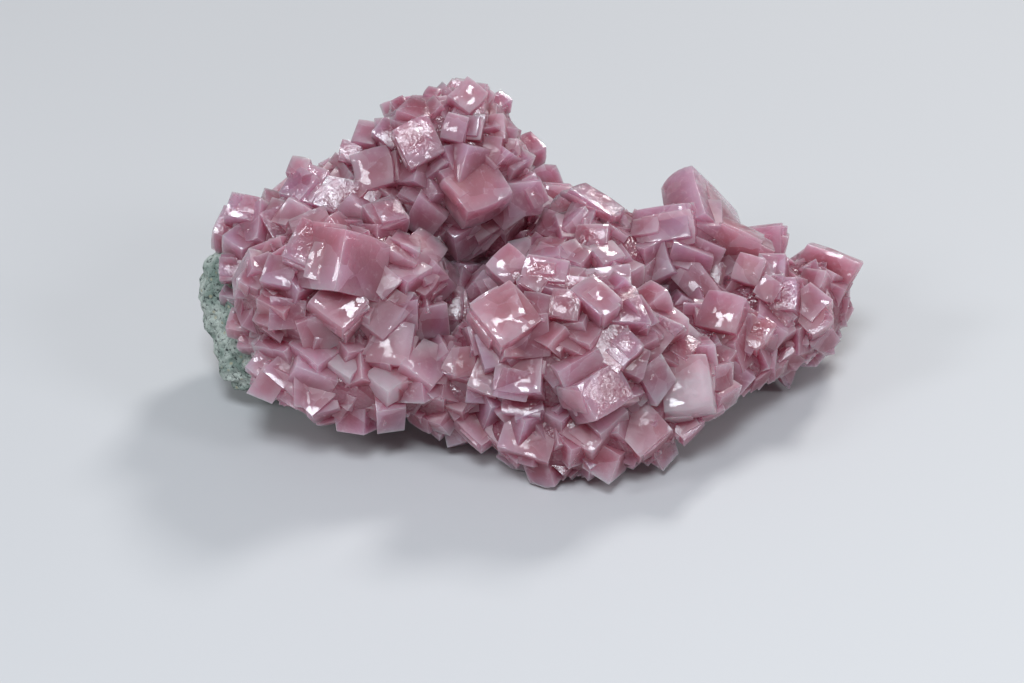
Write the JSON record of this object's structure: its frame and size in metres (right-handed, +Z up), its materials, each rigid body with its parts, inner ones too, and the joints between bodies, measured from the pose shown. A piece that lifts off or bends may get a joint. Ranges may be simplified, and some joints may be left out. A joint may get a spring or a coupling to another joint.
{
  "type": "smithsonite specimen",
  "caption": "Mineral specimen: pink rhombohedral smithsonite crystals crusting a lump of porous host rock, lying on a flat under the rock.",
  "frame": {"origin": "middle of the overall box, at the flat that the host rock rests on", "axes": "+Z up from the table, X along the specimen's long side, display side towards -Y"},
  "size_m": [0.071, 0.0454, 0.0327],
  "materials": {
    "smithsonite": "glossy, slightly translucent crystal",
    "matrix": "rough, porous"
  },
  "bodies": {
    "root": {"smithsonite_crust": "smithsonite", "matrix_rock": "matrix"}
  },
  "joints": []
}
